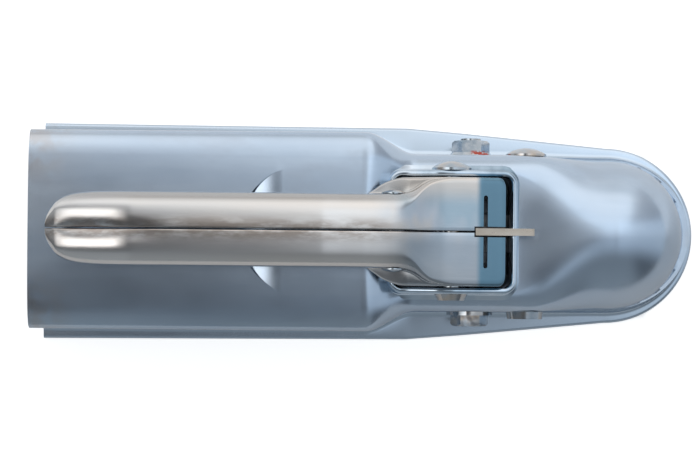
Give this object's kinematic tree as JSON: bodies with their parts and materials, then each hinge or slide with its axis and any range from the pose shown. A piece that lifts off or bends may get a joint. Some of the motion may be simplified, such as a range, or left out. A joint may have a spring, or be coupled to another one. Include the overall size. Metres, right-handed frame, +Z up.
{
  "type": "trailer coupling head",
  "caption": "Pressed sheet-steel coupling head with a ball socket, a U channel for a square drawbar, a riveted lift lever and a swinging locking jaw.",
  "frame": {"origin": "centre of the ball socket", "axes": "+X to the nose, along the trailer's drawbar; +Y to the coupling's left; +Z up, away from the ball's neck"},
  "size_m": [0.2618, 0.087, 0.0723],
  "materials": {
    "zinc_sheet": "bright zinc plating, satin",
    "handle_sheet": "zinc plating, satin, warm grey",
    "rivet_steel": "zinc plating, smooth",
    "bolt_steel": "bright zinc plating",
    "inner_steel": "plain oiled steel",
    "spring_steel": "dark spring steel",
    "jaw_steel": "plain cast steel",
    "blade_plating": "yellow zinc plating"
  },
  "bodies": {
    "housing": {"coupling_body": "zinc_sheet", "lever_pivot_rivet": "rivet_steel", "jaw_rivet": "rivet_steel", "clamp_bolt": "bolt_steel", "bolt_washer": "bolt_steel", "flange_nut": "bolt_steel", "bolt_sleeve": "inner_steel", "jaw_spacer_left": "inner_steel", "jaw_spacer_right": "inner_steel", "spring_seat": "inner_steel", "main_spring": "spring_steel"},
    "lever": {"handle_left": "handle_sheet", "handle_right": "handle_sheet", "handle_rivet": "rivet_steel", "handle_spacer": "inner_steel", "cam_plate_left": "inner_steel", "cam_plate_right": "inner_steel", "pivot_spacer_left": "inner_steel", "pivot_spacer_right": "inner_steel"},
    "jaw": {"jaw": "jaw_steel", "drive_pin": "inner_steel", "indicator_blade": "blade_plating", "blade_rivet_front": "inner_steel", "blade_rivet_rear": "inner_steel"}
  },
  "joints": [
    {"name": "lever_hinge", "type": "hinge", "parent": "housing", "child": "lever", "pos_m": [-0.064, 0, 0.0325], "axis": [0, 1, 0], "range_deg": [0, 50]},
    {"name": "jaw_hinge", "type": "hinge", "parent": "housing", "child": "jaw", "pos_m": [-0.0337, 0, 0.01], "axis": [0, 1, 0], "range_deg": [0, 18], "deforming": ["main_spring"]}
  ],
  "couplings": [
    {"joint": "jaw_hinge", "follows": "lever_hinge", "ratio": 0.36}
  ]
}
